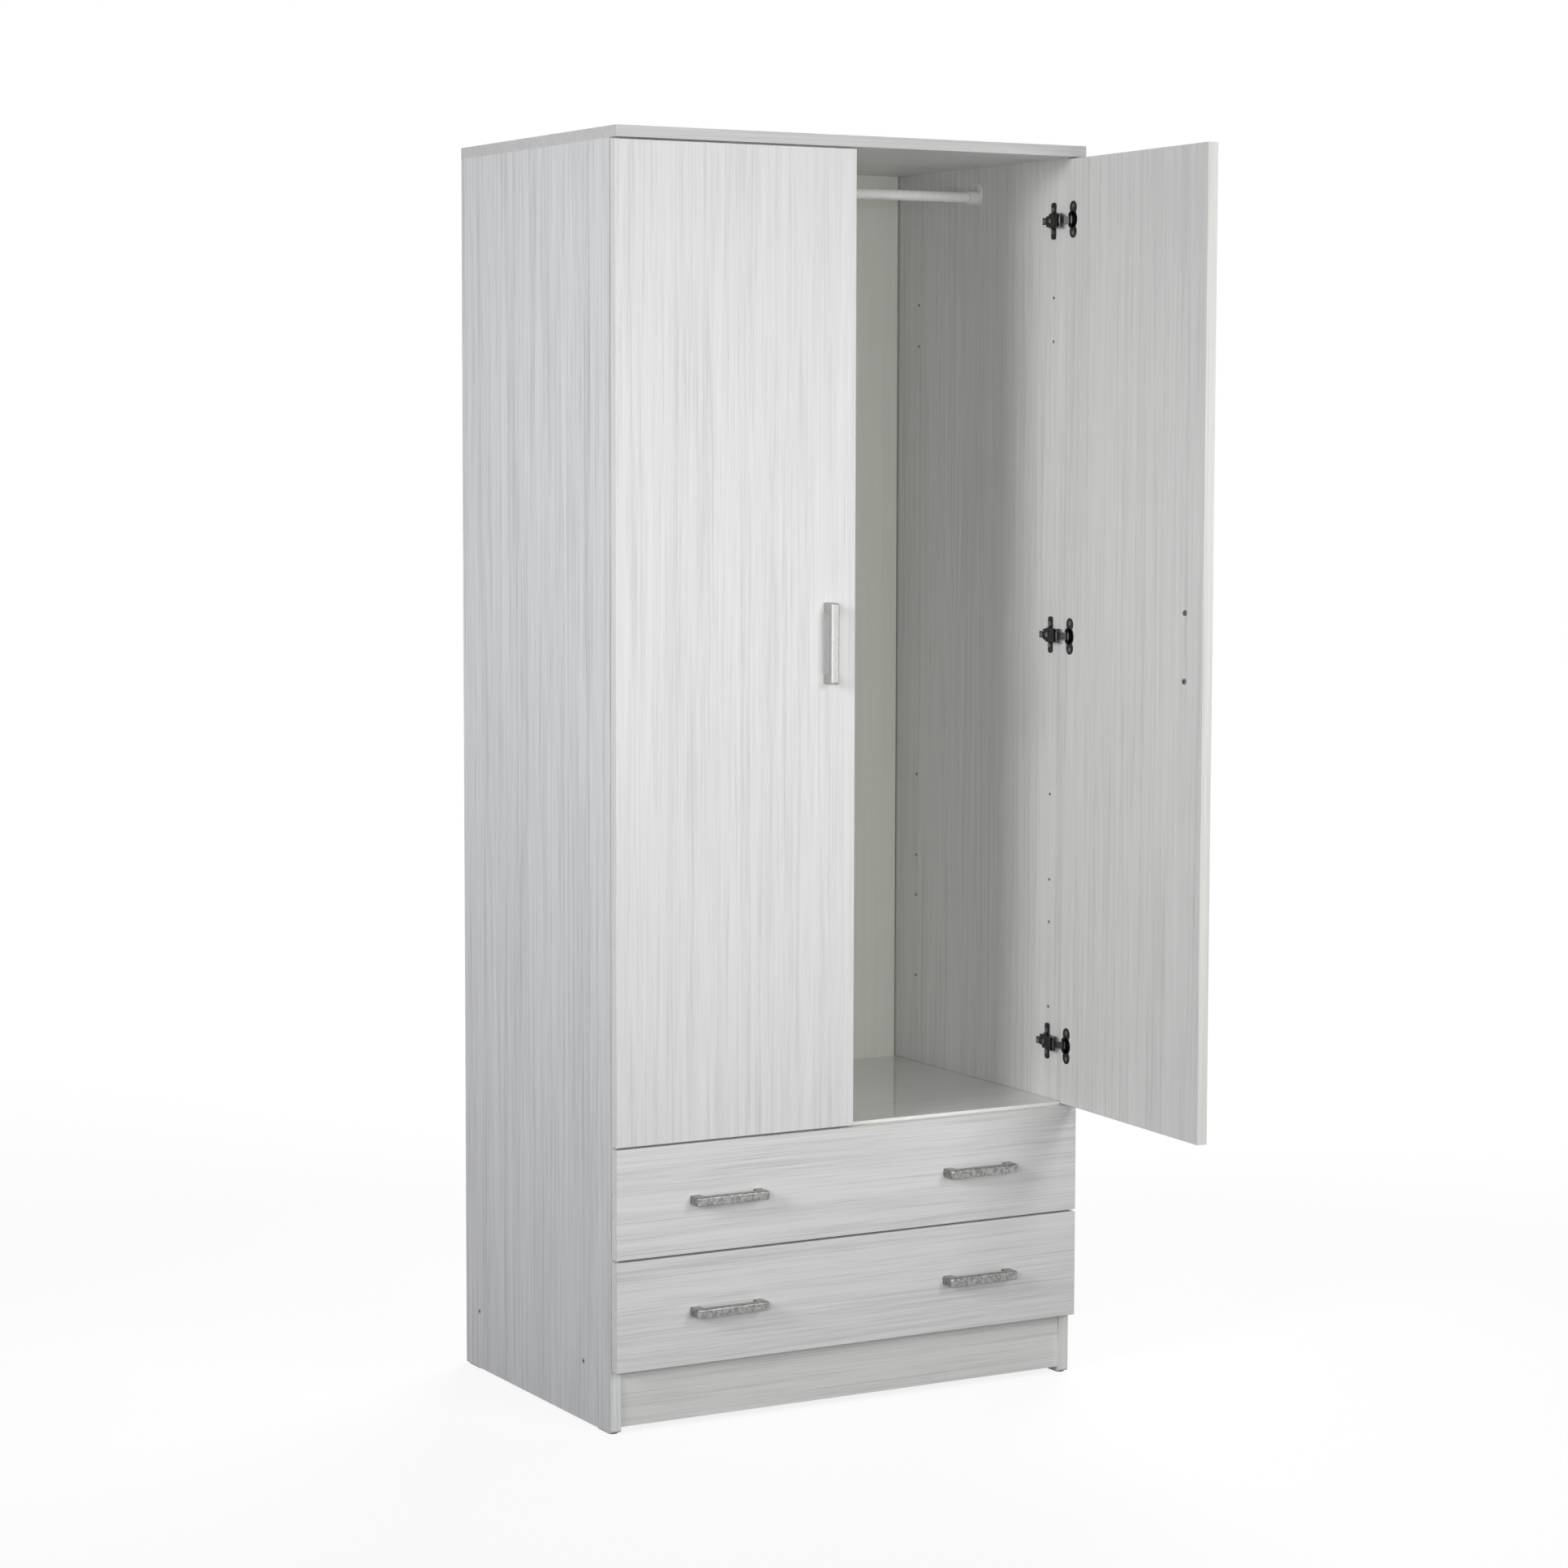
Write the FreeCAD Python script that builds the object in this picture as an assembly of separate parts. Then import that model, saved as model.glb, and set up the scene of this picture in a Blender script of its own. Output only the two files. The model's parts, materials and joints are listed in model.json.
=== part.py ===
import FreeCAD, Part
import math
import os

# Two-door wardrobe with two wide drawers, millimetres, +Z up.
# Origin: floor level, centre of the footprint of the two side panels.
# X runs to the right, Y runs to the back, the fronts face -Y.

V = FreeCAD.Vector
os.makedirs("parts", exist_ok=True)

# ---- overall sizes ----
WIDTH = 768.0
HEIGHT = 1826.0
SIDE_DEPTH = 488.0
TOP_DEPTH = 510.0
BOARD = 16.0

# ---- carcass ----
GLIDE_H = 2.0
GLIDE_END = 26.0
GLIDE_LONG = 44.0
PLINTH_CLEAR = 9.0
PLINTH_RECESS = 4.0
BOTTOM_TOP = 96.0
DECK_TOP = 413.0
BACK_T = 3.0
REBATE_DEPTH = 5.0
REBATE_WIDTH = 8.0
BACK_PLAY = 0.5
STRIP_WEB = 1.0
STRIP_HALF = 8.0
PIN_R = 2.5
PIN_DEPTH = 12.0
COLUMN_FRONT = 37.0
COLUMN_SPACING = 384.0
PIN_LOW = [551.0, 679.0, 743.0, 871.0]
PIN_BELOW_TOP = [283.0, 219.0]

# ---- fronts ----
GAP_BEHIND = 2.2
EDGE_REVEAL = 0.75
FRONT_GAP = 3.0
DOOR_TOP_GAP = 2.5
FRONT_LAP = 4.5

# ---- drawers ----
SIDE_ROOM = 12.5
BOX_SIDE_T = 12.0
BOX_LENGTH = 450.0
BOX_HEIGHT = 118.0
BOX_RISE = 14.0
HOUSING = 6.0
BOX_BOTTOM_T = 3.0
BOX_BOTTOM_RISE = 8.0
BOX_GROOVE = 4.5
STEEL = 1.2
ROLLER_R = 7.0
ROLLER_W = 5.6
RUN_CLEAR = 0.3
AXLE_R = 2.0
AXLE_FIT = 0.05

# ---- hinges, measured from the outer front corner of a side ----
HINGE_FROM_END = 88.0
PIVOT_IN = 26.0
PIVOT_BACK = 7.0
CUP_PIN_IN = 9.5
CUP_PIN_DEPTH = 3.0
CUP_CENTRE = 16.0
CUP_R = 13.0
CUP_FIT = 0.1
CUP_WALL = 0.8
CUP_DEPTH = 11.5
FLANGE_T = 0.8
FLANGE_R = 13.5
LUG_IN = 18.5
LUG_Z = 17.5
LUG_R = 9.5
CUP_SCREW_Z = 19.5
CUP_SCREW_R = 1.75
NOTCH_IN = 9.0
NOTCH_HALF = 6.5
HINGE_PIN_R = 1.5
HINGE_FIT = 0.05
LINK_HALF = 5.0
LINK_T = 2.2
LINK_RATIO = -1.0 / 3.0
REST_OPEN = 87.0
PLATE_T = 2.0
PLATE_HALF = 5.5
RIDGE_TOP = 7.5
RIDGE_HALF = 4.5
PLATE_SCREW_Z = 16.0
PLATE_SCREW_R = 2.5
ARM_SHEET = 1.5
ARM_HALF = 10.0
TAIL_HALF = 5.0
ARM_SCREWS = [33.0, 48.0]

# ---- handles ----
HANDLE_LENGTH = 116.0
HANDLE_WIDTH = 13.0
HANDLE_OUT = 24.0
HANDLE_BAR = 10.0
HANDLE_LEG = 14.0
HANDLE_END_ROUND = 4.0
HANDLE_EDGE_ROUND = 2.5
HANDLE_HOLES = 96.0
DOOR_HANDLE_IN = 45.5
DRAWER_HANDLE_IN = 174.5
DRAWER_HANDLE_DROP = 2.0
HANDLE_SCREW_R = 2.0

# ---- clothes rail ----
RAIL_R = 8.0
RAIL_WALL = 1.0
RAIL_Y = 5.0
RAIL_DROP = 45.5
SUPPORT_T = 3.0
SUPPORT_SOCKET = 18.0

# ---- derived ----
HALF = WIDTH / 2.0
IN = HALF - BOARD
YF = -SIDE_DEPTH / 2.0
YB = SIDE_DEPTH / 2.0
TOP_Z = HEIGHT - BOARD
SHELF_BACK = YB - REBATE_DEPTH
FRONT_IN = YF - GAP_BEHIND
FRONT_OUT = FRONT_IN - BOARD
FRONT_HALF = HALF - EDGE_REVEAL
BOTTOM_Z = BOTTOM_TOP - BOARD
DECK_Z = DECK_TOP - BOARD
FRONT_LOW = BOTTOM_TOP - FRONT_LAP
FRONT_H = (DECK_TOP - FRONT_LAP - FRONT_LOW - FRONT_GAP) / 2.0
DRAWER_Z = {"lower": FRONT_LOW, "upper": FRONT_LOW + FRONT_H + FRONT_GAP}
DOOR_LOW = DECK_TOP - FRONT_LAP + FRONT_GAP
DOOR_HIGH = TOP_Z - DOOR_TOP_GAP
DOOR_MID = (DOOR_LOW + DOOR_HIGH) / 2.0
HINGE_Z = [DOOR_LOW + HINGE_FROM_END, DOOR_MID, DOOR_HIGH - HINGE_FROM_END]
PINS_Z = PIN_LOW + [HEIGHT - drop for drop in PIN_BELOW_TOP]
PLINTH_Y = YF + PLINTH_RECESS
RAIL_Z = TOP_Z - RAIL_DROP

BOX_OUT = IN - SIDE_ROOM
BOX_IN = BOX_OUT - BOX_SIDE_T
BOX_BACK = FRONT_IN + BOX_LENGTH
FRONT_ROLLER_Y = YF + 12.0
REAR_ROLLER_Y = BOX_BACK - 14.0
RUNNER_BACK = BOX_BACK + 8.0
TRACK_Z = 12.8
ROLLER_Z = TRACK_Z - RUN_CLEAR - ROLLER_R

HINGE_A = V(HALF - PIVOT_IN, YF + PIVOT_BACK, 0)
HINGE_B = V(HALF - CUP_PIN_IN, FRONT_IN - CUP_PIN_DEPTH, 0)
REST_LINK = REST_OPEN * LINK_RATIO
REST_CUP = REST_OPEN - REST_LINK
UP = V(0, 0, 1)

CONFIRMAT_Y = [YF + 87.0, YB - 47.0]
CAM_Y = [YF + 77.0, YB - 77.0]
DOWEL_Y = [YF + 125.0, YB - 125.0]
CAM_EDGE = 34.0
CAM_R = 7.5
CAM_T = 11.0
BOLT_R = 4.0
BOLT_DEEP = 11.0
DOWEL_R = 4.0
DOWEL_DEEP = 11.0
DOWEL_FAR = 24.0
PLINTH_DOWEL_Z = (PLINTH_CLEAR + BOTTOM_TOP) / 2.0
ROW = 32.0
RUNNER_ROWS = [1, int(BOX_LENGTH * 0.5 / ROW), int((BOX_LENGTH - 90.0) / ROW)]

# ---- small helpers ----
def box(x0, x1, y0, y1, z0, z1):
    return Part.makeBox(x1 - x0, y1 - y0, z1 - z0, V(x0, y0, z0))


def rod(radius, start, end):
    line = end - start
    return Part.makeCylinder(radius, line.Length, start, line)


def rounded(shape, radius, test):
    edges = [edge for edge in shape.Edges if test(edge)]
    return shape.makeFillet(radius, edges)


def along(edge, axis):
    first = edge.Vertexes[0].Point
    last = edge.Vertexes[-1].Point
    step = last - first
    if step.Length < 1e-6:
        return False
    return abs(step.dot(axis)) > 0.999 * step.Length


def mirrored(shape):
    return shape.mirror(V(0, 0, 0), V(1, 0, 0))


def both(shapes):
    return list(shapes) + [mirrored(shape) for shape in shapes]


def fuse(shapes):
    whole = shapes[0]
    for shape in shapes[1:]:
        whole = whole.fuse(shape)
    return whole.removeSplitter()


def drill(shape, tools):
    if not tools:
        return shape
    return shape.cut(Part.makeCompound(tools))


def export(name, solids):
    solids = solids if isinstance(solids, list) else [solids]
    flat = []
    for item in solids:
        flat.extend(item.Solids)
    shape = flat[0] if len(flat) == 1 else Part.makeCompound(flat)
    shape.exportStep("parts/%s.step" % name)


# ---- screws: head and shank, entering along a direction ----
def pan_screw(at, into, head_r, head_h, shank_r, length):
    head = rod(head_r, at - into * head_h, at)
    shank = rod(shank_r, at, at + into * length)
    slot_at = at - into * head_h
    side = V(0, 0, 1) if abs(into.z) < 0.5 else V(1, 0, 0)
    cross = into.cross(side)
    bars = []
    for one, two in ((side, cross), (cross, side)):
        half_long = one * (head_r * 0.6)
        half_thin = two * 0.35
        corners = [
            slot_at - half_long - half_thin,
            slot_at + half_long - half_thin,
            slot_at + half_long + half_thin,
            slot_at - half_long + half_thin,
        ]
        wire = Part.makePolygon(corners + [corners[0]])
        bars.append(Part.Face(wire).extrude(into * (head_h * 0.55)))
    return head.fuse(shank).cut(fuse(bars))


def flush_screw(at, into, head_r, head_h, shank_r, length):
    head = rod(head_r, at, at + into * head_h)
    shank = rod(shank_r, at + into * head_h, at + into * length)
    socket = rod(head_r * 0.5, at, at + into * (head_h * 0.7))
    return head.fuse(shank).cut(socket)


def flush_hole(at, into, head_r, head_h, shank_r, length):
    head = rod(head_r, at, at + into * head_h)
    return head.fuse(rod(shank_r, at + into * head_h, at + into * length))


# ---- positions of the fixings on the right-hand half ----
X1 = V(1, 0, 0)
CONFIRMAT_AT = [V(HALF, y, BOTTOM_Z + BOARD / 2) for y in CONFIRMAT_Y]
TOP_CAM_AT = [V(IN, y, TOP_Z - CAM_EDGE) for y in CAM_Y]
DECK_CAM_AT = [V(IN - CAM_EDGE, y, DECK_Z) for y in CAM_Y]
SIDE_MID = HALF - BOARD / 2
DECK_MID = DECK_Z + BOARD / 2


def confirmat_holes():
    return [flush_hole(at, -X1, 4.5, 2.5, 2.5, 50) for at in CONFIRMAT_AT]


def top_bolt_holes():
    return [rod(BOLT_R, V(SIDE_MID, y, TOP_Z - CAM_EDGE), V(SIDE_MID, y, TOP_Z + BOLT_DEEP)) for y in CAM_Y]


def deck_bolt_holes():
    return [rod(BOLT_R, V(IN - CAM_EDGE, y, DECK_MID), V(IN + BOLT_DEEP, y, DECK_MID)) for y in CAM_Y]


def dowels_right():
    pegs = []
    for y in DOWEL_Y:
        pegs.append(rod(DOWEL_R, V(SIDE_MID, y, TOP_Z - DOWEL_FAR), V(SIDE_MID, y, TOP_Z + DOWEL_DEEP)))
        pegs.append(rod(DOWEL_R, V(IN - DOWEL_FAR, y, DECK_MID), V(IN + DOWEL_DEEP, y, DECK_MID)))
    mid = PLINTH_Y + BOARD / 2
    pegs.append(rod(DOWEL_R, V(IN - DOWEL_FAR, mid, PLINTH_DOWEL_Z), V(IN + DOWEL_DEEP, mid, PLINTH_DOWEL_Z)))
    return pegs


def top_cams():
    return [rod(CAM_R, at, at + X1 * CAM_T) for at in TOP_CAM_AT]


def deck_cams():
    return [rod(CAM_R, at, at + UP * CAM_T) for at in DECK_CAM_AT]


NAIL_R = 0.8
NAIL_HEAD_R = 2.5
NAIL_LONG = 16.0
NAIL_Y = SHELF_BACK + BACK_T


def nail_points():
    points = []
    rows = 8
    low = BOTTOM_TOP + 70.0
    high = TOP_Z - 60.0
    for i in range(rows):
        points.append(V(IN + REBATE_WIDTH / 2, NAIL_Y, low + (high - low) * i / (rows - 1)))
    for x in (110.0, 240.0):
        x_at = x / 368.0 * IN
        points.append(V(x_at, NAIL_Y, BOTTOM_Z + BOARD / 2))
        points.append(V(x_at, NAIL_Y, DECK_MID))
    return points


def nail_holes():
    return [rod(NAIL_R, at, at - V(0, NAIL_LONG, 0)) for at in nail_points()]


def plate_screw_points():
    points = []
    for z in HINGE_Z:
        for step in (-PLATE_SCREW_Z, PLATE_SCREW_Z):
            points.append(V(IN, YF + COLUMN_FRONT, z + step))
    return points


SUPPORT_SCREW_AT = V(IN - SUPPORT_T, RAIL_Y, RAIL_Z + 14.5)


def runner_screw_points():
    points = []
    for low in DRAWER_Z.values():
        for row in RUNNER_ROWS:
            points.append(V(IN - STEEL, YF + COLUMN_FRONT + ROW * row, low + BOX_RISE + 5.5))
    return points


# ---- carcass panels ----
right_side = box(IN, HALF, YF, YB, GLIDE_H, TOP_Z)
right_side = rounded(right_side, 4.0, lambda e: along(e, X1) and e.CenterOfMass.y < 0 and e.CenterOfMass.z < 9)
side_tools = [box(IN - 1, IN + REBATE_WIDTH, SHELF_BACK, YB + 1, GLIDE_H - 1, TOP_Z + 1)]
for z in PINS_Z:
    for y in (YF + COLUMN_FRONT, YF + COLUMN_FRONT + COLUMN_SPACING):
        side_tools.append(rod(PIN_R, V(IN - 1, y, z), V(IN + PIN_DEPTH, y, z)))
for at in plate_screw_points():
    side_tools.append(rod(PLATE_SCREW_R, at - X1, at + X1 * 11.0))
for at in runner_screw_points():
    side_tools.append(rod(2.0, at, at + X1 * (STEEL + 12.0)))
side_tools.append(rod(1.75, SUPPORT_SCREW_AT, SUPPORT_SCREW_AT + X1 * 15.0))
side_tools += confirmat_holes() + top_bolt_holes() + deck_bolt_holes()
side_tools += dowels_right() + top_cams() + nail_holes()
right_side = drill(right_side, side_tools)
export("right_side_panel", right_side)
export("left_side_panel", mirrored(right_side))

top = box(-HALF, HALF, YB - TOP_DEPTH, YB, TOP_Z, HEIGHT)
top = rounded(top, 0.8, lambda e: along(e, X1) and e.CenterOfMass.y < 0)
top = drill(top, both(top_bolt_holes() + dowels_right()))
export("top_panel", top)

bottom = box(-IN, IN, PLINTH_Y + BOARD, SHELF_BACK, BOTTOM_Z, BOTTOM_TOP)
bottom = drill(bottom, both(confirmat_holes() + nail_holes()))
export("bottom_panel", bottom)

deck = box(-IN, IN, YF, SHELF_BACK, DECK_Z, DECK_TOP)
deck = rounded(deck, 0.8, lambda e: along(e, X1) and e.CenterOfMass.y < 0)
deck = drill(deck, both(deck_cams() + deck_bolt_holes() + dowels_right() + nail_holes()))
export("drawer_deck", deck)

plinth = box(-IN, IN, PLINTH_Y, PLINTH_Y + BOARD, PLINTH_CLEAR, BOTTOM_TOP)
plinth = drill(plinth, both(dowels_right()))
export("plinth", plinth)

# ---- thin back in two halves, joined by an H strip and nailed ----
half_back = box(
    STRIP_WEB / 2,
    IN + REBATE_WIDTH - BACK_PLAY,
    SHELF_BACK,
    SHELF_BACK + BACK_T,
    BOTTOM_Z,
    TOP_Z,
)
half_back = drill(half_back, nail_holes())
export("back_panel_right", half_back)
export("back_panel_left", mirrored(half_back))

strip = fuse([
    box(-STRIP_WEB / 2, STRIP_WEB / 2, SHELF_BACK, SHELF_BACK + BACK_T, BOTTOM_Z, TOP_Z),
    box(-STRIP_HALF, STRIP_HALF, SHELF_BACK + BACK_T, SHELF_BACK + BACK_T + 1, BOTTOM_Z, TOP_Z),
    box(-STRIP_HALF, STRIP_HALF, SHELF_BACK - 1, SHELF_BACK, DECK_TOP, TOP_Z),
    box(-STRIP_HALF, STRIP_HALF, SHELF_BACK - 1, SHELF_BACK, BOTTOM_TOP, DECK_Z),
])
export("back_joint_strip", strip)

nails = []
for at in nail_points():
    head = rod(NAIL_HEAD_R, at, at + V(0, 0.8, 0))
    nails.append(head.fuse(rod(NAIL_R, at, at - V(0, NAIL_LONG, 0))))
export("back_nails", both(nails))

# ---- glides under the sides ----
glides = []
for y in (YF + GLIDE_END, YB - GLIDE_END):
    pad = box(IN + 1, HALF - 1, y - GLIDE_LONG / 2, y + GLIDE_LONG / 2, 0, GLIDE_H)
    pad = rounded(pad, 6.0, lambda e: along(e, UP))
    pad = rounded(pad, 1.2, lambda e: e.CenterOfMass.z < 0.01)
    glides.append(pad)
export("glides", both(glides))

# ---- carcass fixings ----
confirmats = [flush_screw(at, -X1, 4.5, 2.5, 2.5, 50) for at in CONFIRMAT_AT]
export("carcass_screws", both(confirmats))

cams = []
for disc, bolt in zip(top_cams() + deck_cams(), top_bolt_holes() + deck_bolt_holes()):
    cams.append(disc.cut(bolt))
for i, at in enumerate(TOP_CAM_AT + DECK_CAM_AT):
    axis = X1 if i < len(TOP_CAM_AT) else UP
    cross = V(0, 1, 0)
    length = axis.cross(cross)
    for one, two in ((cross, length), (length, cross)):
        ends = one * 4.5
        thin = two * 0.9
        wire = [at - ends - thin, at + ends - thin, at + ends + thin, at - ends + thin]
        bar = Part.Face(Part.makePolygon(wire + [wire[0]])).extrude(axis * 2.0)
        cams[i] = cams[i].cut(bar)
export("cam_locks", both(cams))

bolts = []
for y in CAM_Y:
    foot = V(SIDE_MID, y, TOP_Z)
    bolts.append(fuse([
        rod(BOLT_R, foot, foot + UP * BOLT_DEEP),
        rod(2.5, foot - UP * 28, foot),
        rod(3.4, foot - UP * (CAM_EDGE - 1), foot - UP * 28),
        rod(3.4, foot - UP * 3, foot),
    ]))
    foot = V(IN, y, DECK_MID)
    bolts.append(fuse([
        rod(BOLT_R, foot, foot + X1 * BOLT_DEEP),
        rod(2.5, foot - X1 * 28, foot),
        rod(3.4, foot - X1 * (CAM_EDGE - 1), foot - X1 * 28),
        rod(3.4, foot - X1 * 3, foot),
    ]))
export("cam_bolts", both(bolts))

caps = []
for at in TOP_CAM_AT:
    cap = rod(9.0, at - X1 * 1.2, at)
    caps.append(rounded(cap, 0.8, lambda e: e.CenterOfMass.x < IN - 1.1))
export("cam_caps", both(caps))

export("dowels", both(dowels_right()))

# ---- clothes rail ----
rail_end = IN - SUPPORT_T
rail = rod(RAIL_R, V(-rail_end, RAIL_Y, RAIL_Z), V(rail_end, RAIL_Y, RAIL_Z))
rail = rail.cut(rod(RAIL_R - RAIL_WALL, V(-IN, RAIL_Y, RAIL_Z), V(IN, RAIL_Y, RAIL_Z)))
export("clothes_rail", rail)

flange_low = V(rail_end, RAIL_Y, RAIL_Z)
flange_high = V(rail_end, RAIL_Y, RAIL_Z + 10.0)
support = fuse([
    rod(12.0, flange_low, flange_low + X1 * SUPPORT_T),
    rod(12.0, flange_high, flange_high + X1 * SUPPORT_T),
    box(rail_end, IN, RAIL_Y - 12, RAIL_Y + 12, RAIL_Z, RAIL_Z + 10),
])
socket = rod(RAIL_R + 2.5, flange_low - X1 * SUPPORT_SOCKET, flange_low)
socket = socket.cut(rod(RAIL_R, flange_low - X1 * SUPPORT_SOCKET, flange_low))
support = support.fuse(socket).removeSplitter()
support = support.cut(rod(1.75, SUPPORT_SCREW_AT, SUPPORT_SCREW_AT + X1 * SUPPORT_T))
export("rail_supports", both([support]))
support_screw = pan_screw(SUPPORT_SCREW_AT, X1, 3.5, 1.8, 1.75, 15)
export("rail_support_screws", both([support_screw]))

# ---- concealed hinges, carcass side ----
# outlines run in pairs: height above the inner face of the side, distance behind its front edge
SHEET = [(14.7, 8.0), (14.7, 20.0), (9.0, 29.0), (9.0, 39.0)]
SHEET += [(7.5, 39.0), (7.5, 28.6), (13.2, 19.6), (13.2, 8.0)]
CHEEK = [(14.7, 7.0), (14.7, 20.0), (9.0, 29.0), (9.0, 39.0), (2.4, 39.0), (2.4, 12.0), (6.8, 7.0)]
ARM_SEAT = RIDGE_TOP + ARM_SHEET


def bent(outline, low, high):
    corners = [V(IN - height, YF + back, low) for height, back in outline]
    return Part.Face(Part.makePolygon(corners + [corners[0]])).extrude(UP * (high - low))


def hinge_box(low_h, high_h, front, back, z_low, z_high):
    return box(IN - high_h, IN - low_h, YF + front, YF + back, z_low, z_high)


def shoulder(z, side):
    # wedge that rises from a wing of the plate towards the arm
    outline = [(10.4, 0.0), (12.2, 0.0), (12.2, PLATE_T), (10.4, 6.0)]
    corners = [V(IN - height, YF + COLUMN_FRONT - PLATE_HALF, z + side * out) for out, height in outline]
    return Part.Face(Part.makePolygon(corners + [corners[0]])).extrude(V(0, 2 * PLATE_HALF, 0))


plates = []
arms = []
plate_screws = []
arm_screws = []
for z in HINGE_Z:
    wing = hinge_box(0, PLATE_T, COLUMN_FRONT - PLATE_HALF, COLUMN_FRONT + PLATE_HALF, z - 27, z + 27)
    wing = rounded(wing, 4.0, lambda e: along(e, X1))
    base = hinge_box(0, PLATE_T, 25, 56, z - 8, z + 8)
    ridge = hinge_box(PLATE_T, RIDGE_TOP, 27, 54, z - RIDGE_HALF, z + RIDGE_HALF)
    plate = fuse([wing, base, ridge, shoulder(z, -1), shoulder(z, 1)])
    holes = []
    for step in (-PLATE_SCREW_Z, PLATE_SCREW_Z):
        at = V(IN - PLATE_T, YF + COLUMN_FRONT, z + step)
        holes.append(rod(PLATE_SCREW_R, at, at + X1 * PLATE_T))
        plate_screws.append(pan_screw(at, X1, 3.6, 1.8, PLATE_SCREW_R, PLATE_T + 11.0))
    for back in ARM_SCREWS:
        at = V(IN - RIDGE_TOP, YF + back, z)
        holes.append(rod(2.0, at, at + X1 * 6.5))
    plates.append(drill(plate, holes))

    nose = V(HINGE_A.x, HINGE_A.y, z)
    arm = [bent(SHEET, z - ARM_HALF, z + ARM_HALF)]
    arm.append(hinge_box(RIDGE_TOP, ARM_SEAT, 38, 55, z - TAIL_HALF, z + TAIL_HALF))
    for low in (z - ARM_HALF, z + ARM_HALF - ARM_SHEET):
        arm.append(bent(CHEEK, low, low + ARM_SHEET))
        arm.append(Part.makeCylinder(3.2, ARM_SHEET, V(HINGE_A.x, HINGE_A.y, low)))
    arm.append(rod(HINGE_PIN_R, nose - UP * ARM_HALF, nose + UP * ARM_HALF))
    arm = fuse(arm)
    holes = []
    for back in ARM_SCREWS:
        at = V(IN - ARM_SEAT, YF + back, z)
        holes.append(rod(2.0, at, at + X1 * ARM_SHEET))
        arm_screws.append(pan_screw(at, X1, 3.6, 1.8, 2.0, ARM_SHEET + 6.5))
    arms.append(drill(arm, holes))
export("hinge_plates", both(plates))
export("hinge_arms", both(arms))
export("hinge_plate_screws", both(plate_screws))
export("hinge_arm_screws", both(arm_screws))


# ---- hinge links: curved so they clear the side corner and the door corner ----
def slab(start, end, half_t, low, high):
    run = end - start
    run.normalize()
    side = V(-run.y, run.x, 0) * half_t
    base = V(0, 0, low)
    wire = [start - side + base, end - side + base, end + side + base, start + side + base]
    return Part.Face(Part.makePolygon(wire + [wire[0]])).extrude(UP * (high - low))


def corner_point(inward, forward):
    return V(HALF - inward, YF - forward, 0)


links = []
for z in HINGE_Z:
    low = z - LINK_HALF
    high = z + LINK_HALF
    knee = corner_point(14.5, GAP_BEHIND + 4.4)
    elbow = corner_point(20.5, GAP_BEHIND + 0.8)
    pieces = [
        Part.makeCylinder(2.7, high - low, HINGE_B + UP * low),
        Part.makeCylinder(2.8, high - low, HINGE_A + UP * low),
        Part.makeCylinder(LINK_T / 2, high - low, knee + UP * low),
        Part.makeCylinder(LINK_T / 2, high - low, elbow + UP * low),
        slab(HINGE_B, knee, LINK_T / 2, low, high),
        slab(knee, elbow, LINK_T / 2, low, high),
        slab(elbow, HINGE_A, LINK_T / 2, low, high),
    ]
    link = fuse(pieces)
    for pin in (HINGE_A, HINGE_B):
        link = link.cut(Part.makeCylinder(HINGE_PIN_R + HINGE_FIT, high - low, pin + UP * low))
    links.append(link)


# ---- one door, built closed on the right-hand side ----
def handle_shape(centre, axis):
    # bar along `axis`, standing out towards -Y from the point `centre`
    half = HANDLE_LENGTH / 2
    wide = HANDLE_WIDTH / 2
    body = box(-half, half, -HANDLE_OUT, 0, -wide, wide)
    finger = box(-half + HANDLE_LEG, half - HANDLE_LEG, -HANDLE_OUT + HANDLE_BAR, 1, -wide - 1, wide + 1)
    finger = rounded(finger, 4.0, lambda e: along(e, UP) and e.CenterOfMass.y < -5)
    body = body.cut(finger)
    body = rounded(body, HANDLE_END_ROUND, lambda e: along(e, UP) and e.CenterOfMass.y < -HANDLE_OUT + 1)
    body = rounded(body, HANDLE_EDGE_ROUND, lambda e: along(e, X1) and e.CenterOfMass.y < -HANDLE_OUT + 1)
    for step in (-HANDLE_HOLES / 2, HANDLE_HOLES / 2):
        body = body.cut(rod(HANDLE_SCREW_R, V(step, 0, 0), V(step, -9, 0)))
    if abs(axis.z) > 0.5:
        body.rotate(V(0, 0, 0), V(0, 1, 0), 90)
    body.translate(centre)
    return body


def handle_screw_points(centre, axis):
    return [centre + axis * step for step in (-HANDLE_HOLES / 2, HANDLE_HOLES / 2)]


FORWARD = V(0, -1, 0)
door = box(FRONT_GAP / 2, FRONT_HALF, FRONT_OUT, FRONT_IN, DOOR_LOW, DOOR_HIGH)
door = rounded(door, 0.8, lambda e: e.CenterOfMass.y < FRONT_OUT + 0.01)
handle_at = V(FRONT_GAP / 2 + DOOR_HANDLE_IN, FRONT_OUT, DOOR_MID)
door_tools = []
door_handle_screws = []
for at in handle_screw_points(handle_at, UP):
    head_at = V(at.x, FRONT_IN, at.z)
    door_tools.append(rod(HANDLE_SCREW_R, head_at, at))
    door_handle_screws.append(pan_screw(head_at, FORWARD, 4.0, 2.2, HANDLE_SCREW_R, BOARD + 8))
door_handle = handle_shape(handle_at, UP)

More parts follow.
